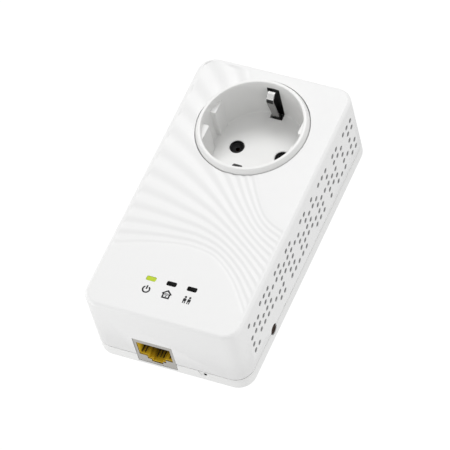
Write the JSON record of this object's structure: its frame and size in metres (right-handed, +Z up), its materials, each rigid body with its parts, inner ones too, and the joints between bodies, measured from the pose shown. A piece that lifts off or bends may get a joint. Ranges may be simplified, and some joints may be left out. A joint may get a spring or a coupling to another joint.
{
  "type": "powerline adapter",
  "caption": "Wall-plug mains data adapter with a recessed earthed pass-through socket, Ethernet jack, status lights, pairing button, reset pinhole and side vents.",
  "frame": {"origin": "centre of the plug's flat face, between its two pins", "axes": "+Z up along the body as it hangs on a wall socket, +Y back into the wall, +X right seen from the front"},
  "size_m": [0.064, 0.0744, 0.119],
  "materials": {
    "front_casing": "satin white moulding with a soft wave relief",
    "rear_casing": "fine matt white moulding",
    "socket_plastic": "smooth white moulding",
    "plug_plastic": "fine matt white moulding",
    "spring_steel": "bright rolled spring strip",
    "nickel_plate": "nickel plated",
    "screw_steel": "zinc plated screw",
    "copper": "bare copper",
    "gold_wire": "gold plated spring wire",
    "circuit_board": "green solder mask",
    "black_plastic": "moulded black plastic",
    "fuse_body": "black sleeved fuse",
    "jack_plastic": "yellow moulded jack body",
    "switch_plunger": "pale plunger",
    "film_capacitor": "yellow film capacitor box",
    "varistor_coating": "blue dipped coating",
    "ferrite": "dark sintered ferrite",
    "winding_tape": "yellow insulating tape",
    "capacitor_sleeve": "dark shrink sleeve",
    "aluminium": "extruded aluminium",
    "lamp_resin": "clear lamp resin",
    "lit_light_guide": "lit yellow-green light guide",
    "dark_light_guide": "unlit dark light guide",
    "button_brown": "dark brown button cap",
    "label_film": "plain silver-grey label, blank"
  },
  "bodies": {
    "housing": {"board_header": "black_plastic", "bulk_capacitor": "capacitor_sleeve", "choke_core": "ferrite", "choke_winding": "copper", "coupling_transformer": "black_plastic", "crystal": "aluminium", "earth_bridge": "spring_steel", "ethernet_magnetics": "black_plastic", "front_shell": "front_casing", "fuse": "fuse_body", "heat_sink": "aluminium", "led_1": "lamp_resin", "led_2": "lamp_resin", "led_3": "lamp_resin", "light_pipe_1": "lit_light_guide", "light_pipe_2": "dark_light_guide", "light_pipe_3": "dark_light_guide", "live_lead": "copper", "main_board": "circuit_board", "memory_chip": "black_plastic", "neutral_lead": "copper", "pair_switch_body": "black_plastic", "plug_body": "plug_plastic", "plug_earth_strip_lower": "nickel_plate", "plug_earth_strip_upper": "nickel_plate", "plug_pin_left": "nickel_plate", "plug_pin_right": "nickel_plate", "power_board": "circuit_board", "processor": "black_plastic", "rating_label": "label_film", "rear_shell": "rear_casing", "reset_switch_body": "black_plastic", "rj45_body": "jack_plastic", "rj45_contact_1": "gold_wire", "rj45_contact_2": "gold_wire", "rj45_contact_3": "gold_wire", "rj45_contact_4": "gold_wire", "rj45_contact_5": "gold_wire", "rj45_contact_6": "gold_wire", "rj45_contact_7": "gold_wire", "rj45_contact_8": "gold_wire", "rj45_shield": "nickel_plate", "screw_1": "screw_steel", "screw_2": "screw_steel", "screw_3": "screw_steel", "screw_4": "screw_steel", "socket_contact_left": "copper", "socket_contact_right": "copper", "socket_insert": "socket_plastic", "transformer_core": "ferrite", "transformer_winding": "winding_tape", "varistor": "varistor_coating", "x_capacitor": "film_capacitor"},
    "upper_earth_clip": {"earth_clip_upper": "spring_steel"},
    "lower_earth_clip": {"earth_clip_lower": "spring_steel"},
    "pair_button": {"pair_button": "button_brown", "pair_switch_plunger": "switch_plunger"},
    "reset_plunger": {"reset_switch_plunger": "nickel_plate"}
  },
  "joints": [
    {"name": "pair_button_press", "type": "slide", "parent": "housing", "child": "pair_button", "axis": [-1, 0, 0], "range_m": [0, 0.0005], "stiffness_N_per_m": 3000},
    {"name": "reset_press", "type": "slide", "parent": "housing", "child": "reset_plunger", "axis": [0, 0, 1], "range_m": [0, 0.0004], "stiffness_N_per_m": 3000},
    {"name": "upper_clip_flex", "type": "hinge", "parent": "housing", "child": "upper_earth_clip", "pos_m": [0, -0.0338, 0.0178], "axis": [-1, 0, 0], "range_deg": [0, 4], "stiffness_Nm_per_rad": 2},
    {"name": "lower_clip_flex", "type": "hinge", "parent": "housing", "child": "lower_earth_clip", "pos_m": [0, -0.0338, -0.0178], "axis": [1, 0, 0], "range_deg": [0, 4], "stiffness_Nm_per_rad": 2}
  ]
}
